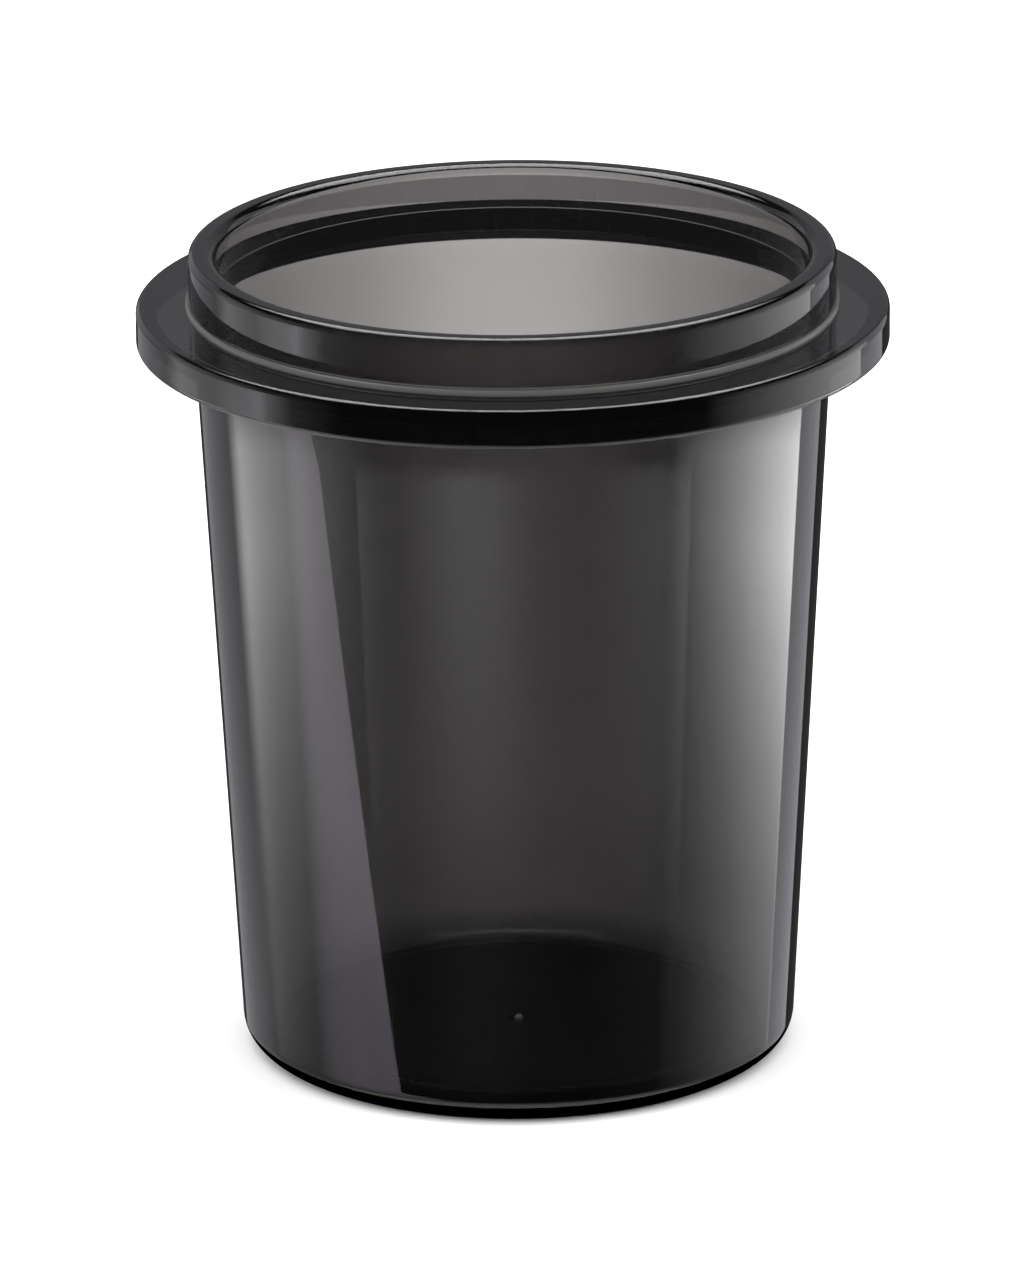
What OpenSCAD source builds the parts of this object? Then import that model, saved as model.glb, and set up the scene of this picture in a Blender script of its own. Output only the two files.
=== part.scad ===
// Barrel of a small hobby rock tumbler, open, without its lid.
// A tapered smoke-tinted cup stands on its base and turns about +Z.
// The origin is the centre of the base.

/* [Barrel body] */
// Height from the base to the top of the lip
total_h = 116; // [100:1:140]
// Radius of the body at the top of the rounded bottom corner
base_r = 39.1; // [36:0.1:41]
// Radius of the body where it enters the flange ring
neck_r = 44.4; // [43.5:0.1:45]
// Radius of the rounded corner between the base and the wall
corner_r = 4.2; // [2:0.1:6]
// Wall thickness at the foot of the wall
wall_t = 3; // [2.5:0.1:5]

/* [Floor] */
// Height of the inside floor above the base
floor_z = 2.4; // [2:0.1:6]
// Radius of the cove between the inside floor and the wall
cove_r = 4.6; // [2:0.1:6]
// Thickness of the floor pad, which lies flush in its pocket
pad_t = 0.8; // [0.6:0.1:1.2]
// Radius of the hole in the middle of the pad
pad_hole_r = 1.8; // [1.5:0.1:3]
// Radius of the moulded pip that stands in that hole
pip_r = 0.6; // [0.5:0.1:1.2]

/* [Collar and lip] */
// Radius of the collar that the lid goes over
collar_r = 45.1; // [45:0.1:46]
// Radius of the mouth inside the collar
mouth_r = 41.3; // [40.5:0.1:42]
// Height of the collar above the flange
collar_h = 7.8; // [6.5:0.1:10]
// Length of the straight stretch of the mouth, lip rounding included
mouth_len = 6.2; // [4:0.1:8]
// Rounding on the outside of the lip
lip_out_r = 1.1; // [0.5:0.1:1.4]
// Rounding on the inside of the lip
lip_in_r = 1.5; // [0.5:0.1:1.9]

/* [Flange ring] */
// Radius of the flange ring
flange_r = 52.5; // [50:0.1:56]
// Height of the ring's skirt, from its lower edge to the top of the plate
flange_h = 5.6; // [4:0.1:8]
// Thickness of the ring's plate and of its skirt
web_t = 2.3; // [1.8:0.1:2.8]
// Rounding of the ring's outer edges, above and below
rim_edge_r = 0.9; // [0.4:0.1:1.2]
// Rounding inside the skirt, at its lower edge and under the plate
rim_in_r = 0.6; // [0.3:0.1:1]

/* [Lid seal] */
// Width of the seal ring, from the neck to its outer edge
seal_w = 1.25; // [1:0.05:1.6]
// Height of the seal ring
seal_h = 0.8; // [0.6:0.05:1.2]

/* [Hidden] */

// Radial gap between two pieces that are pushed together
fit_gap = 0.05;
// Steps in each rounded corner of a profile
arc_steps = 10;
// Straight sides of a full turn in the preview
turn_sides = 180;

flange_top = total_h - collar_h;
flange_bottom = flange_top - flange_h;
plate_bottom = flange_top - web_t;
skirt_in_r = flange_r - web_t;
mouth_bottom = total_h - mouth_len;

// The neck runs on above the flange, as the floor of the seal's groove
groove_top = flange_top + seal_h + 2 * fit_gap;
seal_in_r = neck_r + fit_gap;
seal_out_r = neck_r + seal_w;
seal_round_r = 0.8 * seal_h;

// Lean of the outside wall, and centre of the rounded bottom corner
outer_lean = atan((neck_r - base_r) / (flange_bottom - corner_r));
corner_c = [base_r - corner_r, corner_r];

// Lean of the inside wall, and centre of the cove
inner_foot_r = base_r - wall_t + (cove_r + floor_z - corner_r) * tan(outer_lean);
inner_lean = atan((mouth_r - inner_foot_r) / (mouth_bottom - floor_z - cove_r));
cove_c = [inner_foot_r - cove_r, floor_z + cove_r];

pocket_r = cove_c[0];
pocket_z = floor_z - pad_t;
pad_r = pocket_r - 2 * fit_gap;
pad_edge_r = 0.3;
pip_top = floor_z + 0.5;

// Points along an arc about c, from angle a0 to angle a1
function arc(c, r, a0, a1) = [
    for (i = [0 : arc_steps])
        let (a = a0 + (a1 - a0) * i / arc_steps)
            c + r * [cos(a), sin(a)]
];

// Half section of the moulded cup: base, wall, neck, collar, lip and inside
function shell_section() = concat(
    [[0, 0]],
    arc(corner_c, corner_r, -90, -outer_lean),
    [[neck_r, flange_bottom], [neck_r, groove_top], [collar_r, groove_top]],
    arc([collar_r - lip_out_r, total_h - lip_out_r], lip_out_r, 0, 90),
    arc([mouth_r + lip_in_r, total_h - lip_in_r], lip_in_r, 90, 180),
    [[mouth_r, mouth_bottom]],
    arc(cove_c, cove_r, -inner_lean, -90),
    [[pocket_r, pocket_z], [pip_r, pocket_z]],
    arc([0, pip_top - pip_r], pip_r, 0, 90)
);

// Half section of the flange ring, a flat plate with a skirt hanging from its rim
function flange_section() = concat(
    [[neck_r + fit_gap, plate_bottom]],
    arc([skirt_in_r - rim_in_r, plate_bottom - rim_in_r], rim_in_r, 90, 0),
    arc([skirt_in_r + rim_in_r, flange_bottom + rim_in_r], rim_in_r, 180, 270),
    arc([flange_r - rim_edge_r, flange_bottom + rim_edge_r], rim_edge_r, -90, 0),
    arc([flange_r - rim_edge_r, flange_top - rim_edge_r], rim_edge_r, 0, 90),
    [[neck_r + fit_gap, flange_top]]
);

// Half section of the lid seal, a strip with a rounded outer shoulder
function seal_section() = concat(
    [[seal_in_r, flange_top], [seal_out_r, flange_top]],
    arc([seal_out_r - seal_round_r, flange_top + seal_h - seal_round_r], seal_round_r, 0, 90),
    [[seal_in_r, flange_top + seal_h]]
);

// Half section of the floor pad, eased at its upper edge
function pad_section() = concat(
    [[pad_hole_r, pocket_z], [pad_r, pocket_z]],
    arc([pad_r - pad_edge_r, floor_z - pad_edge_r], pad_edge_r, 0, 90),
    [[pad_hole_r, floor_z]]
);

module turned(section) {
    rotate_extrude($fn = turn_sides)
        polygon(section);
}

module barrel_shell() {
    color([0.22, 0.22, 0.23, 0.6])
        turned(shell_section());
}

module flange_ring() {
    color([0.14, 0.14, 0.15, 0.8])
        turned(flange_section());
}

module lid_seal() {
    color([0.4, 0.4, 0.39])
        turned(seal_section());
}

module floor_pad() {
    color([0.04, 0.04, 0.045])
        turned(pad_section());
}

barrel_shell();
flange_ring();
lid_seal();
floor_pad();
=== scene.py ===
import math

import bmesh
import bpy
from mathutils import Matrix, Vector


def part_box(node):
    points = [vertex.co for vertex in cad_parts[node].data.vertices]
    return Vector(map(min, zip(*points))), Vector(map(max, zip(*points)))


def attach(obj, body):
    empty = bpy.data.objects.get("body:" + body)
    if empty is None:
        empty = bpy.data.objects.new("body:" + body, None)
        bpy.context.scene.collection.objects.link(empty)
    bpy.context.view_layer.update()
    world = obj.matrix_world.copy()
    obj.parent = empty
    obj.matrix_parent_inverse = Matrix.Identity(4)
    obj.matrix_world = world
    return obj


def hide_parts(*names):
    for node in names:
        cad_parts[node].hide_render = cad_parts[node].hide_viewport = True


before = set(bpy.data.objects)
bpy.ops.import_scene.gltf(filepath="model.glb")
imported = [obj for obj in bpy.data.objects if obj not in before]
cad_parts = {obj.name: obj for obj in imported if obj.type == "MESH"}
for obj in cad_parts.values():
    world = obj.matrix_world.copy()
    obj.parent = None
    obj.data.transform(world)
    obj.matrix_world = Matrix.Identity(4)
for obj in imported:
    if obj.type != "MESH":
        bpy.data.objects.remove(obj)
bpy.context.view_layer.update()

MM = 0.001
scene = bpy.context.scene

# ---------------------------------------------------------------- sizes from the frame

_, shell_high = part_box("barrel_shell")
flange_low, flange_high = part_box("flange_ring")
_, seal_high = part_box("lid_seal")
pad_low, pad_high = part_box("floor_pad")

TOTAL_H = shell_high[2]
FLANGE_R = flange_high[0]
FLANGE_BOTTOM = flange_low[2]
FLANGE_TOP = flange_high[2]
SEAL_R = seal_high[0]
SEAL_TOP = seal_high[2]
PAD_R = pad_high[0]
PAD_BOTTOM = pad_low[2]
FLOOR_Z = pad_high[2]
COLLAR_R = shell_high[0]

# The same driving dimensions as the CAD model
BASE_R = 39.1 * MM
NECK_R = 44.4 * MM
CORNER_R = 4.2 * MM
WALL_T = 3.0 * MM
COVE_R = 4.6 * MM
MOUTH_R = 41.3 * MM
MOUTH_LEN = 6.2 * MM
LIP_OUT_R = 1.1 * MM
LIP_IN_R = 1.5 * MM
WEB_T = 2.3 * MM
RIM_EDGE_R = 0.9 * MM
RIM_IN_R = 0.6 * MM
FIT_GAP = 0.05 * MM
PAD_HOLE_R = 1.8 * MM
PAD_EDGE_R = 0.3 * MM
PIP_R = 0.6 * MM
PIP_RISE = 0.5 * MM
# The seal's rounded shoulder, as a share of its height above the flange
SEAL_SHOULDER = 0.8

# ---------------------------------------------------------------- mesh tools

TURN_SIDES = 288
ARC_STEPS = 14
WALL_STEPS = 12
SHARP_ANGLE = math.radians(40)


def arc(centre, r, a0, a1, steps=ARC_STEPS):
    """Points along an arc of a half section, angles in degrees."""
    angles = [math.radians(a0 + (a1 - a0) * i / steps) for i in range(steps + 1)]
    return [(centre[0] + r * math.cos(a), centre[1] + r * math.sin(a)) for a in angles]


def line(p, q, steps):
    """Points between p and q, without the two ends."""
    return [
        (p[0] + (q[0] - p[0]) * i / steps, p[1] + (q[1] - p[1]) * i / steps)
        for i in range(1, steps)
    ]


def lathe(name, section, closed):
    """A solid turned about Z from a half section of (radius, height) points.

    An open section starts and ends on the axis, and a closed one is a ring's."""
    bm = bmesh.new()
    rings = []
    for r, z in section:
        if r < 1e-9:
            rings.append([bm.verts.new((0.0, 0.0, z))])
            continue
        turn = [2 * math.pi * i / TURN_SIDES for i in range(TURN_SIDES)]
        rings.append([bm.verts.new((r * math.cos(a), r * math.sin(a), z)) for a in turn])
    pairs = list(zip(rings, rings[1:]))
    if closed:
        pairs.append((rings[-1], rings[0]))
    for low, high in pairs:
        for i in range(TURN_SIDES):
            j = (i + 1) % TURN_SIDES
            quad = [low[i % len(low)], low[j % len(low)], high[j % len(high)], high[i % len(high)]]
            corners = list(dict.fromkeys(quad))
            if len(corners) > 2:
                bm.faces.new(corners)
    bmesh.ops.recalc_face_normals(bm, faces=bm.faces)
    mesh = bpy.data.meshes.new(name)
    bm.to_mesh(mesh)
    bm.free()
    mesh.polygons.foreach_set("use_smooth", [True] * len(mesh.polygons))
    mesh.set_sharp_from_angle(angle=SHARP_ANGLE)
    piece = bpy.data.objects.new(name, mesh)
    scene.collection.objects.link(piece)
    weigh = piece.modifiers.new("even normals", "WEIGHTED_NORMAL")
    weigh.keep_sharp = True
    return piece


# ---------------------------------------------------------------- half sections

GROOVE_TOP = SEAL_TOP + 2 * FIT_GAP
MOUTH_BOTTOM = TOTAL_H - MOUTH_LEN
outer_lean = math.atan((NECK_R - BASE_R) / (FLANGE_BOTTOM - CORNER_R))
inner_foot_r = BASE_R - WALL_T + (COVE_R + FLOOR_Z - CORNER_R) * math.tan(outer_lean)
inner_lean = math.atan((MOUTH_R - inner_foot_r) / (MOUTH_BOTTOM - FLOOR_Z - COVE_R))
POCKET_R = inner_foot_r - COVE_R


def shell_section():
    corner = (BASE_R - CORNER_R, CORNER_R)
    cove = (POCKET_R, FLOOR_Z + COVE_R)
    lip_out = (COLLAR_R - LIP_OUT_R, TOTAL_H - LIP_OUT_R)
    lip_in = (MOUTH_R + LIP_IN_R, TOTAL_H - LIP_IN_R)
    foot = arc(corner, CORNER_R, -90, -math.degrees(outer_lean))
    hollow = arc(cove, COVE_R, -math.degrees(inner_lean), -90)
    return (
        [(0, 0)]
        + foot
        + line(foot[-1], (NECK_R, FLANGE_BOTTOM), WALL_STEPS)
        + [(NECK_R, FLANGE_BOTTOM), (NECK_R, GROOVE_TOP), (COLLAR_R, GROOVE_TOP)]
        + arc(lip_out, LIP_OUT_R, 0, 90)
        + arc(lip_in, LIP_IN_R, 90, 180)
        + [(MOUTH_R, MOUTH_BOTTOM)]
        + line((MOUTH_R, MOUTH_BOTTOM), hollow[0], WALL_STEPS)
        + hollow
        + [(POCKET_R, PAD_BOTTOM), (PIP_R, PAD_BOTTOM)]
        + arc((0, FLOOR_Z + PIP_RISE - PIP_R), PIP_R, 0, 90)[:-1]
        + [(0, FLOOR_Z + PIP_RISE)]
    )


def flange_section():
    e, i = RIM_EDGE_R, RIM_IN_R
    bore = NECK_R + FIT_GAP
    skirt_in = FLANGE_R - WEB_T
    plate_bottom = FLANGE_TOP - WEB_T
    return (
        [(bore, plate_bottom)]
        + arc((skirt_in - i, plate_bottom - i), i, 90, 0)
        + arc((skirt_in + i, FLANGE_BOTTOM + i), i, 180, 270)
        + arc((FLANGE_R - e, FLANGE_BOTTOM + e), e, -90, 0)
        + arc((FLANGE_R - e, FLANGE_TOP - e), e, 0, 90)
        + [(bore, FLANGE_TOP)]
    )


def seal_section():
    shoulder = SEAL_SHOULDER * (SEAL_TOP - FLANGE_TOP)
    bore = NECK_R + FIT_GAP
    return (
        [(bore, FLANGE_TOP), (SEAL_R, FLANGE_TOP)]
        + arc((SEAL_R - shoulder, SEAL_TOP - shoulder), shoulder, 0, 90)
        + [(bore, SEAL_TOP)]
    )


def pad_section():
    e = PAD_EDGE_R
    return (
        [(PAD_HOLE_R, PAD_BOTTOM), (PAD_R, PAD_BOTTOM)]
        + arc((PAD_R - e, FLOOR_Z - e), e, 0, 90)
        + [(PAD_HOLE_R, FLOOR_Z)]
    )


# ---------------------------------------------------------------- materials


class Tree:
    """Adds nodes to a node tree and links them."""

    def __init__(self, tree):
        self.tree = tree

    def add(self, kind, **inputs):
        node = self.tree.nodes.new(kind)
        for key, value in inputs.items():
            self.feed(node, key.replace("_", " "), value)
        return node

    def feed(self, node, key, value):
        if isinstance(value, bpy.types.NodeSocket):
            self.tree.links.new(value, node.inputs[key])
        else:
            node.inputs[key].default_value = value

    def operate(self, kind, operation, *values):
        """A node that works on values, fed to its inputs in order."""
        node = self.tree.nodes.new(kind)
        node.operation = operation
        for key, value in enumerate(values):
            self.feed(node, key, value)
        return node

    def math(self, operation, *values):
        return self.operate("ShaderNodeMath", operation, *values).outputs["Value"]

    def times(self, a, b):
        """Two colours multiplied."""
        return self.operate("ShaderNodeVectorMath", "MULTIPLY", a, b).outputs["Vector"]

    def scaled(self, value, low, high, start=0.3, end=0.7):
        """value from start to end, spread over low to high."""
        spread = self.add(
            "ShaderNodeMapRange",
            Value=value,
            From_Min=start,
            From_Max=end,
            To_Min=low,
            To_Max=high,
        )
        return spread.outputs["Result"]

    def tone(self, value, dark, light):
        """A colour between dark and light that follows value."""
        node = self.add("ShaderNodeValToRGB", Fac=value)
        node.color_ramp.elements[0].color = (*dark, 1)
        node.color_ramp.elements[1].color = (*light, 1)
        return node.outputs["Color"]

    def fade(self, value, stops):
        """A grey level that follows value through (position, level) stops."""
        node = self.add("ShaderNodeValToRGB", Fac=value)
        elements = node.color_ramp.elements
        while len(elements) < len(stops):
            elements.new(0.5)
        for element, (at, level) in zip(elements, stops):
            element.position = at
            element.color = (level, level, level, 1)
        return node.outputs["Color"]


class Plastic(Tree):
    """A Principled material whose textures are sized in millimetres."""

    def __init__(self, name):
        self.material = bpy.data.materials.new(name)
        self.material.use_nodes = True
        super().__init__(self.material.node_tree)
        self.shader = self.tree.nodes["Principled BSDF"]
        self.output = self.tree.nodes["Material Output"]

    def place(self, scale=(1, 1, 1)):
        """The piece's own coordinates in millimetres, stretched by scale."""
        where = self.add("ShaderNodeTexCoord").outputs["Object"]
        spread = self.add("ShaderNodeMapping", Vector=where, Scale=[s / MM for s in scale])
        return spread.outputs["Vector"]

    def noise(self, size_mm, detail=2.0, scale=(1, 1, 1)):
        field = self.add(
            "ShaderNodeTexNoise",
            Vector=self.place(scale),
            Scale=1.0 / size_mm,
            Detail=detail,
        )
        return field.outputs["Fac"]

    def scratches(self, gap_mm):
        """Thin upright lines where a stretched noise crosses its middle value."""
        field = self.noise(gap_mm, 1.0, (1, 1, 0.03))
        off = self.math("ABSOLUTE", self.math("SUBTRACT", field, 0.5))
        return self.scaled(off, low=1.0, high=0.0, start=0.0, end=0.012)

    def bump(self, height, strength, distance_mm):
        node = self.add(
            "ShaderNodeBump", Height=height, Strength=strength, Distance=distance_mm * MM
        )
        self.feed(self.shader, "Normal", node.outputs["Normal"])

    def absorb(self, colour, per_mm):
        """Tints the plastic by its depth."""
        volume = self.add(
            "ShaderNodeVolumeAbsorption", Color=(*colour, 1), Density=per_mm / MM
        )
        self.feed(self.output, "Volume", volume.outputs["Volume"])


def smoke_plastic(name, colour, per_mm, gloss):
    """Clear moulded plastic, tinted through its depth, with faint handling marks."""
    n = Plastic(name)
    n.shader.inputs["Base Color"].default_value = (1, 1, 1, 1)
    n.shader.inputs["IOR"].default_value = 1.5
    n.shader.inputs["Transmission Weight"].default_value = 1.0
    smear = n.scaled(n.noise(22.0, 3.0), gloss, gloss * 2.2)
    marks = n.math("MULTIPLY", n.scratches(9.0), 0.05)
    n.feed(n.shader, "Roughness", n.math("ADD", smear, marks))
    flow = n.noise(14.0, 2.0, (1, 1, 0.4))
    n.bump(flow, 0.06, 0.05)
    n.absorb(colour, per_mm)
    return n.material


def seal_rubber():
    n = Plastic("seal silicone")
    n.shader.inputs["Base Color"].default_value = (0.035, 0.035, 0.034, 1)
    n.shader.inputs["IOR"].default_value = 1.45
    n.feed(n.shader, "Roughness", n.scaled(n.noise(3.0, 3.0), 0.14, 0.24))
    n.bump(n.noise(0.5, 2.0), 0.1, 0.04)
    return n.material


def pip_painted_glint():
    """The gate pip, coloured pale and part metallic so that it shows as a bright dot: a painted
    highlight for the glint on the pip.
    """
    n = Plastic("pip painted glint")
    pip_speckle = n.noise(0.3, 3.0)
    n.feed(n.shader, "Base Color", n.tone(pip_speckle, (0.75, 0.75, 0.76), (0.95, 0.95, 0.96)))
    n.shader.inputs["Metallic"].default_value = 0.35
    n.feed(n.shader, "Roughness", n.scaled(pip_speckle, 0.25, 0.4))
    n.bump(n.noise(0.2, 3.0), 0.4, 0.05)
    return n.material


# Rubber for the floor pad, near black: painted shade, standing in for the shade under the barrel's
# floor
def pad_rubber_painted_shade():
    n = Plastic("pad rubber painted shade")
    worn = n.noise(7.0, 4.0)
    n.feed(n.shader, "Base Color", n.tone(worn, (0.003, 0.003, 0.0034), (0.006, 0.006, 0.0066)))
    n.feed(n.shader, "Roughness", n.scaled(worn, 0.72, 0.88))
    n.shader.inputs["Specular IOR Level"].default_value = 0.2
    n.bump(n.noise(0.35, 3.0), 0.5, 0.06)
    return n.material


# ---------------------------------------------------------------- pieces

PIECES = {
    "barrel_shell": (
        lathe("visual_barrel_shell", shell_section(), False),
        smoke_plastic("smoke plastic", (0.048, 0.03, 0.026), 0.66, 0.012),
        "smoke_shell",
    ),
    "flange_ring": (
        lathe("visual_flange_ring", flange_section(), True),
        smoke_plastic("flange plastic", (0.03, 0.03, 0.04), 1.6, 0.03),
        "smoke_flange",
    ),
    "lid_seal": (lathe("visual_lid_seal", seal_section(), True), seal_rubber(), "grey_seal"),
    "floor_pad": (lathe("visual_floor_pad", pad_section(), True), pad_rubber_painted_shade(), "black_pad"),
}
for node, (piece, material, slot) in PIECES.items():
    piece.data.materials.append(material)
    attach(piece, "root")
    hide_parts(node)

# The pip's faces, from just above the bottom of the hole in the pad, take the pale painted
# highlight
PIP_FOOT = PAD_BOTTOM + 0.1 * MM
shell = PIECES["barrel_shell"][0].data
shell.materials.append(pip_painted_glint())
for face in shell.polygons:
    middle = face.center
    if math.hypot(middle.x, middle.y) < PIP_R and middle.z > PIP_FOOT:
        face.material_index = 1

# ---------------------------------------------------------------- studio

# Brightness of the surroundings: seen or looked through, lighting the table, and mirrored
# level with the barrel or from steeply below
SEEN_THROUGH = 1.55
LIGHTING = 4.4
MIRRORED = 0.05
MIRRORED_BELOW = 1.3
BELOW_STARTS = math.radians(36)
BELOW_FULL = math.radians(48)

# The table, and its paleness as painted light: by metres from the barrel's axis a painted shadow
# round the foot, and by metres to either side a painted pool of light along the middle
TABLE_R = 0.41
TABLE_Z = -0.05 * MM
FOOT_SHADE = [(0.0, 0.56), (0.075, 0.6), (0.1, 0.64), (0.17, 0.67), (0.21, 0.71), (0.285, 0.77),
              (0.32, 0.87)]
PAINTED_LIGHT_POOL = [(0.0, 1.0), (0.012, 0.97), (0.022, 0.84), (0.034, 0.7), (0.06, 0.62)]
# The black disc under the table that mirrors show: painted shadow round the barrel's foot
FOOT_SHADOW_R = 41 * MM
FOOT_SHADOW_Z = -1.0 * MM

# Distance of the side panels from the axis; the ones that overlap stand a little nearer
PANEL_R = 0.35
MAUVE_R = 0.349
STREAK_R = 0.348
FRONT_R = 0.5
MAUVE = (1.0, 0.97, 1.05)
DEEP_MAUVE = (1.0, 0.9, 1.06)

# How the side panels fade from their lower edge to their upper one
SIDE_FADE = [(0.17, 0.12), (0.2545, 0.28), (0.295, 0.44), (0.336, 0.69), (0.37, 1.0),
             (0.405, 1.0), (0.435, 0.4), (1.0, 0.12)]
EDGE_FADE = [(0.0, 0.8), (0.2, 1.0), (0.45, 0.8), (0.7, 0.6), (1.0, 0.5)]


def new_material(name):
    material = bpy.data.materials.new(name)
    material.use_nodes = True
    return material


def stage_piece(name, verts, faces):
    mesh = bpy.data.meshes.new(name)
    mesh.from_pydata(verts, [], faces)
    ob = bpy.data.objects.new(name, mesh)
    scene.collection.objects.link(ob)
    return ob


def disc(name, r, z):
    sides = 96
    turn = [2 * math.pi * i / sides for i in range(sides)]
    verts = [(r * math.cos(a), r * math.sin(a), z) for a in turn]
    return stage_piece(name, verts, [list(range(sides))])


def table():
    """The pale table: a disc that mirrored rays don't see."""
    material = new_material("table")
    shader = material.node_tree.nodes["Principled BSDF"]
    shader.inputs["Roughness"].default_value = 0.9
    t = Tree(material.node_tree)
    where = t.add("ShaderNodeTexCoord").outputs["Object"]
    far = t.operate("ShaderNodeVectorMath", "LENGTH", where)
    apart = t.add("ShaderNodeSeparateXYZ", Vector=where)
    off = t.math("ABSOLUTE", apart.outputs["X"])
    # The table's colour is painted: darker towards the barrel's foot as painted shadow, lighter
    # along the middle line as a painted pool of light
    shade = t.times(t.fade(far.outputs["Value"], FOOT_SHADE), t.fade(off, PAINTED_LIGHT_POOL))
    t.feed(shader, "Base Color", shade)
    ob = disc("table", TABLE_R, TABLE_Z)
    ob.data.materials.append(material)
    ob.visible_glossy = False


def emission(name):
    """A material that only glows: its tree, its light and its output."""
    material = new_material(name)
    material.node_tree.nodes.clear()
    t = Tree(material.node_tree)
    return material, t, t.add("ShaderNodeEmission"), t.add("ShaderNodeOutputMaterial")


def glow(name, strength, across, upward, tint=(1, 1, 1)):
    """Light that fades along the panel's width and height, by two lists of stops.

    The panel is clear, so that panels one behind the other add up."""
    material, t, light, out = emission(name)
    split = t.add("ShaderNodeSeparateXYZ", Vector=t.add("ShaderNodeUVMap").outputs["UV"])
    fades = t.times(t.fade(split.outputs["X"], across), t.fade(split.outputs["Y"], upward))
    t.feed(light, "Color", t.times(fades, tint))
    t.feed(light, "Strength", strength)
    clear = t.add("ShaderNodeBsdfTransparent")
    both = t.add("ShaderNodeAddShader")
    t.feed(both, 0, light.outputs["Emission"])
    t.feed(both, 1, clear.outputs["BSDF"])
    t.feed(out, "Surface", both.outputs["Shader"])
    return material


def only_mirrored(ob):
    ob.visible_camera = False
    ob.visible_diffuse = False
    ob.visible_transmission = False
    ob.visible_volume_scatter = False
    ob.visible_shadow = False


def foot_shadow_disc():
    """A black disc that only mirrored rays see: painted shadow, the barrel's own shade on the
    table.
    """
    material, t, black, out = emission("foot_shadow_disc")
    t.feed(black, "Strength", 0.0)
    t.feed(out, "Surface", black.outputs["Emission"])
    ob = disc("foot_shadow_disc", FOOT_SHADOW_R, FOOT_SHADOW_Z)
    ob.data.materials.append(material)
    only_mirrored(ob)


def panel(name, verts, faces, uvs, material):
    """A light that only mirrored rays see."""
    ob = stage_piece(name, verts, faces)
    layer = ob.data.uv_layers.new(name="UVMap")
    for loop, uv in zip(layer.data, uvs):
        loop.uv = uv
    ob.data.materials.append(material)
    only_mirrored(ob)


def side_panel(name, azimuths, heights, radius, strength, across, upward,
               tint=(1, 1, 1), slant=0.0):
    """A curved soft light standing round the barrel, over a span of azimuths in degrees.

    Azimuth 0 is towards the camera, and grows towards +X. The panel's far edge is slant
    degrees further on at its lower end."""
    start, end = azimuths
    low, high = heights
    steps = 48
    verts, faces, uvs = [], [], []
    for i in range(steps + 1):
        for z, lean in ((low, slant), (high, 0.0)):
            a = math.radians(start + (end + lean - start) * i / steps)
            verts.append((radius * math.sin(a), -radius * math.cos(a), z))
    for i in range(steps):
        faces.append([2 * i, 2 * i + 2, 2 * i + 3, 2 * i + 1])
        uvs += [(i / steps, 0), ((i + 1) / steps, 0), ((i + 1) / steps, 1), (i / steps, 1)]
    panel(name, verts, faces, uvs, glow(name, strength, across, upward, tint))


def top_panel(name, centre, size, strength):
    x, y, z = centre
    w, d = size[0] / 2, size[1] / 2
    verts = [(x - w, y - d, z), (x + w, y - d, z), (x + w, y + d, z), (x - w, y + d, z)]
    uvs = ((0, 0), (1, 0), (1, 1), (0, 1))
    soft = [(0, 0), (0.2, 1), (0.8, 1), (1, 0)]
    panel(name, verts, [[0, 1, 2, 3]], uvs, glow(name, strength, soft, soft))


def studio_world():
    """White to look at and to look through, bright for what it lights, dark in mirrors."""
    world = bpy.data.worlds.new("studio")
    scene.world = world
    world.use_nodes = True
    t = Tree(world.node_tree)
    back = t.tree.nodes["Background"]
    back.inputs["Color"].default_value = (1, 1, 1, 1)
    ray = t.add("ShaderNodeLightPath").outputs

    def mixed(fac, a, b):
        return t.add("ShaderNodeMix", Factor=fac, A=a, B=b).outputs["Result"]

    # A ray bent by the plastic counts as glossy too, so those are taken off
    mirrored = t.operate(
        "ShaderNodeMath", "SUBTRACT", ray["Is Glossy Ray"], ray["Is Transmission Ray"]
    )
    mirrored.use_clamp = True
    where = t.add("ShaderNodeTexCoord").outputs["Generated"]
    height = t.add("ShaderNodeSeparateXYZ", Vector=where).outputs["Z"]
    below = t.scaled(
        height, MIRRORED, MIRRORED_BELOW, -math.sin(BELOW_STARTS), -math.sin(BELOW_FULL)
    )
    shown = mixed(ray["Is Diffuse Ray"], SEEN_THROUGH, LIGHTING)
    t.feed(back, "Strength", mixed(mirrored.outputs["Value"], shown, below))


table()
foot_shadow_disc()
studio_world()
side_panel(
    "left_panel", (-124, -50), (-0.25, 0.3), PANEL_R, 2.9,
    [(0.0, 0.0), (0.037, 0.3), (0.1, 0.9), (0.138, 1.0), (0.46, 0.85), (0.57, 0.65), (0.67, 0.4),
     (0.81, 0.22), (1.0, 0.0)],
    SIDE_FADE,
)
side_panel(
    "left_strip", (-158, -118), (-0.25, 0.3), PANEL_R, 0.5,
    [(0.0, 0.0), (0.06, 0.85), (0.85, 0.85), (1.0, 0.0)],
    EDGE_FADE, MAUVE,
)
side_panel(
    "right_panel", (56, 126), (-0.25, 0.3), PANEL_R, 4.9,
    [(0.0, 0.0), (0.2, 0.36), (0.4, 0.68), (0.6, 0.95), (0.75, 1.0), (0.97, 0.95), (0.985, 0.0)],
    SIDE_FADE,
)
side_panel(
    "right_strip", (123, 148), (-0.25, 0.3), PANEL_R, 0.8,
    [(0.0, 0.0), (0.06, 1.0), (0.9, 1.0), (0.93, 0.0)],
    EDGE_FADE, MAUVE,
)
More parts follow.
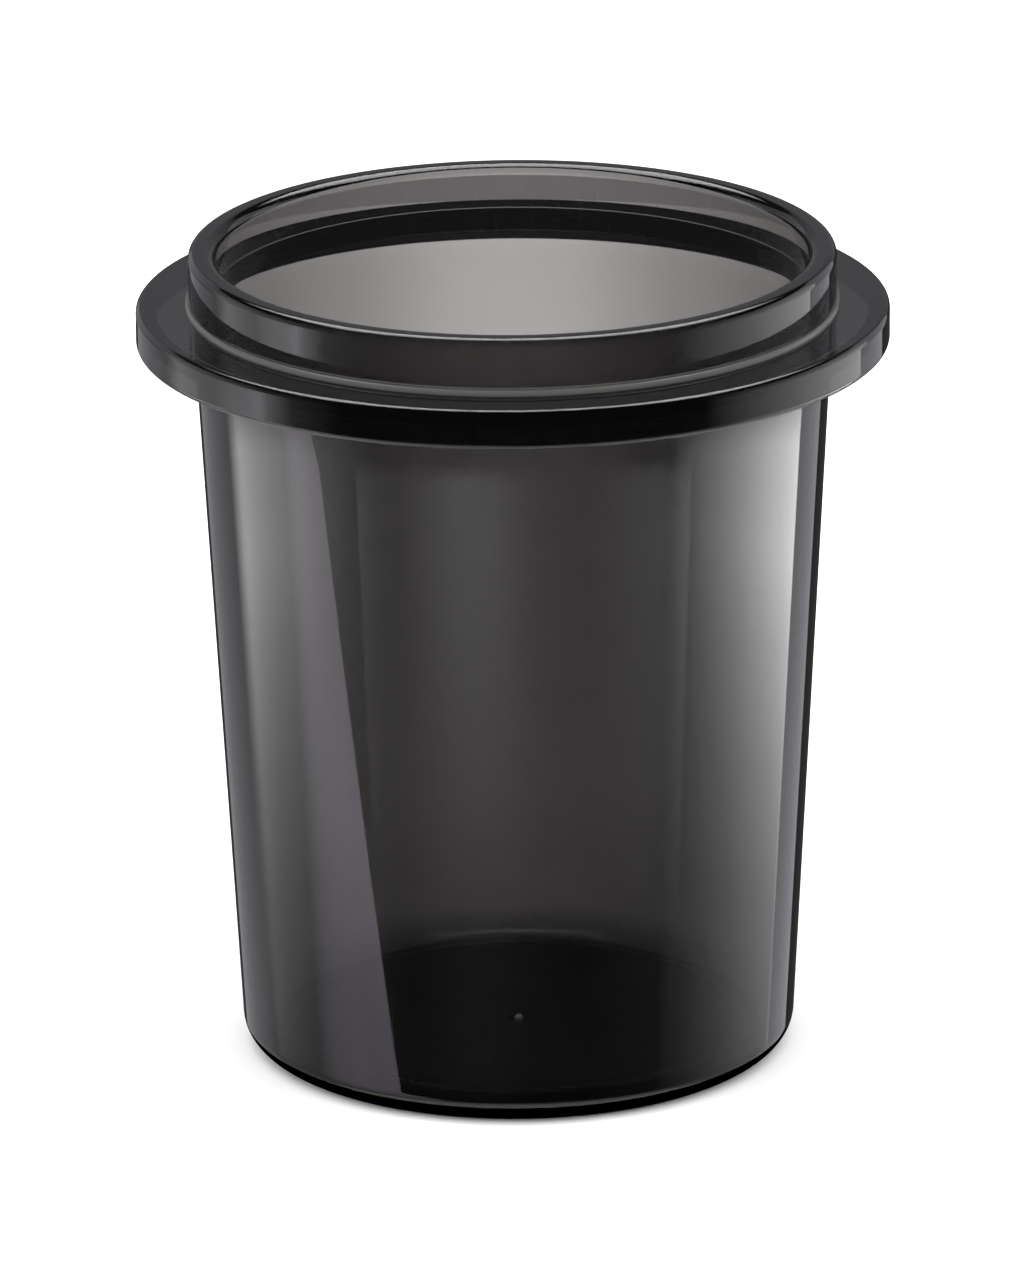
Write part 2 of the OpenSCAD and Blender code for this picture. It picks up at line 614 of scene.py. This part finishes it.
side_panel(
    "mauve_panel", (-89, -79), (-0.24, 0.01), MAUVE_R, 1.9,
    [(0.0, 0.0), (0.25, 0.6), (0.5, 0.9), (0.985, 1.0), (1.0, 0.4)],
    [(0.0, 0.5), (0.25, 0.55), (0.45, 0.7), (0.6, 1.0), (0.85, 0.8), (1.0, 0.0)],
    DEEP_MAUVE, slant=52,
)
side_panel(
    "front_panel", (-58, 66), (-0.3, -0.08), FRONT_R, 0.8,
    [(0.0, 0.6), (0.12, 0.25), (0.2, 0.5), (0.3, 1.0), (0.4, 0.95), (0.47, 0.4), (0.55, 0.1),
     (0.68, 0.05), (0.76, 0.35), (0.88, 0.8), (1.0, 0.8)],
    [(0.0, 0.0), (0.3, 0.04), (0.5, 0.13), (0.68, 0.6), (0.85, 1.0), (0.9, 1.0), (0.96, 0.0)],
)
side_panel(
    "collar_streak", (-98, -66), (-0.02, 0.06), STREAK_R, 2.2,
    [(0.0, 0.0), (0.3, 0.4), (0.5, 0.6), (0.62, 1.0), (0.75, 0.5), (1.0, 0.0)],
    [(0.0, 0.0), (0.3, 0.8), (0.6, 1.0), (1.0, 0.2)],
    MAUVE,
)
side_panel(
    "back_panel", (95, 265), (0.1, 0.3), PANEL_R, 0.2,
    [(0.0, 0.0), (0.05, 1.0), (0.95, 1.0), (1.0, 0.0)],
    [(0.0, 0.0), (0.15, 1.0), (0.9, 1.0), (1.0, 0.6)],
    MAUVE,
)
top_panel("top_panel", (0.0, 0.27, 0.6), (0.8, 0.64), 6.0)

# ---------------------------------------------------------------- camera

CAMERA_ELEVATION = math.radians(18.4)
CAMERA_DISTANCE = 1.5
CAMERA_ROLL = math.radians(-0.5)
LOOK_AT = Vector((-0.0005, 0.0, 0.0584))

camera = bpy.data.objects.new("camera", bpy.data.cameras.new("camera"))
scene.collection.objects.link(camera)
camera.data.lens = 300
camera.data.sensor_width = 36
camera.data.clip_end = 10
towards = Vector((0, -math.cos(CAMERA_ELEVATION), math.sin(CAMERA_ELEVATION)))
camera.matrix_world = (
    Matrix.Translation(LOOK_AT + towards * CAMERA_DISTANCE)
    @ towards.to_track_quat("Z", "Y").to_matrix().to_4x4()
    @ Matrix.Rotation(CAMERA_ROLL, 4, "Z")
)
scene.camera = camera
scene.view_settings.view_transform = "Standard"
